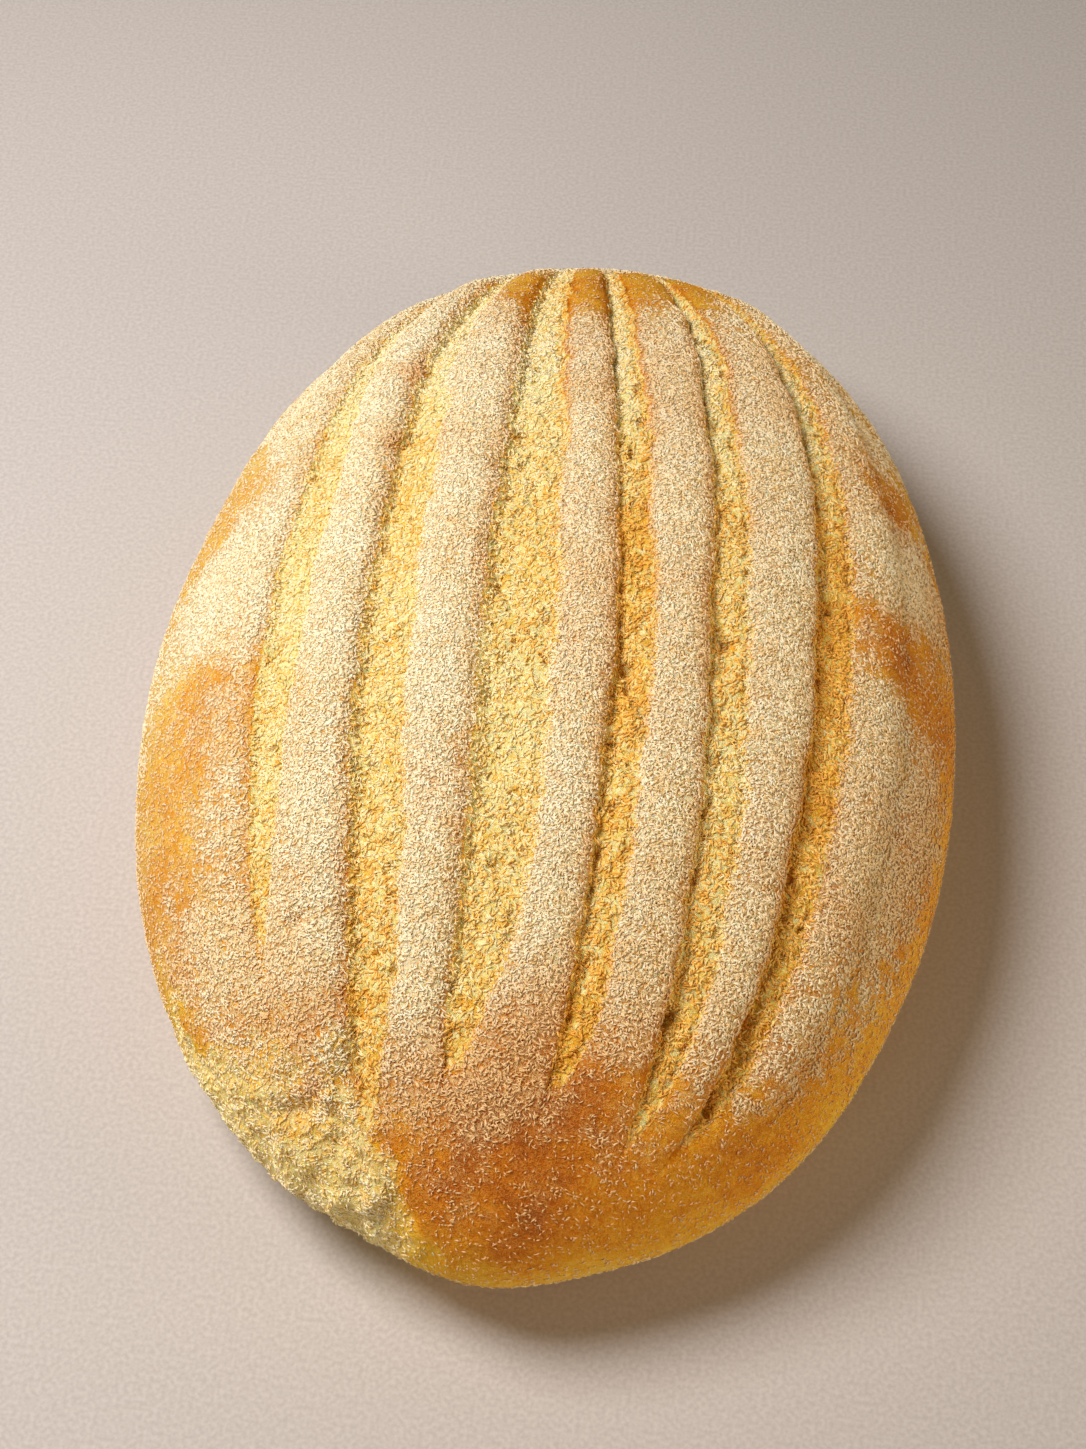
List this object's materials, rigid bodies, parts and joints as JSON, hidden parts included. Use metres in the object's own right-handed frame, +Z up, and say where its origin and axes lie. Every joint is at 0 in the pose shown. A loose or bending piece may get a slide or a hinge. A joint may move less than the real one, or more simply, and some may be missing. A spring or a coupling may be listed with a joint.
{
  "type": "sweet bread loaf",
  "caption": "Long oval sweet bread loaf on a flat foot, its crown scored lengthwise into rounded strips with torn crumb between them, dusted with coarse meal.",
  "frame": {"origin": "middle of the flat foot's bounding box, on the surface that the loaf stands on", "axes": "+Z up, +Y along the loaf towards the end where the scores run over the horizon, +X to the right of the shown view"},
  "size_m": [0.1706, 0.2536, 0.0725],
  "materials": {
    "crust": "matte golden crust dusted with pale coarse meal, yellow torn crumb in the scores"
  },
  "bodies": {
    "root": {"loaf": "crust"}
  },
  "joints": []
}
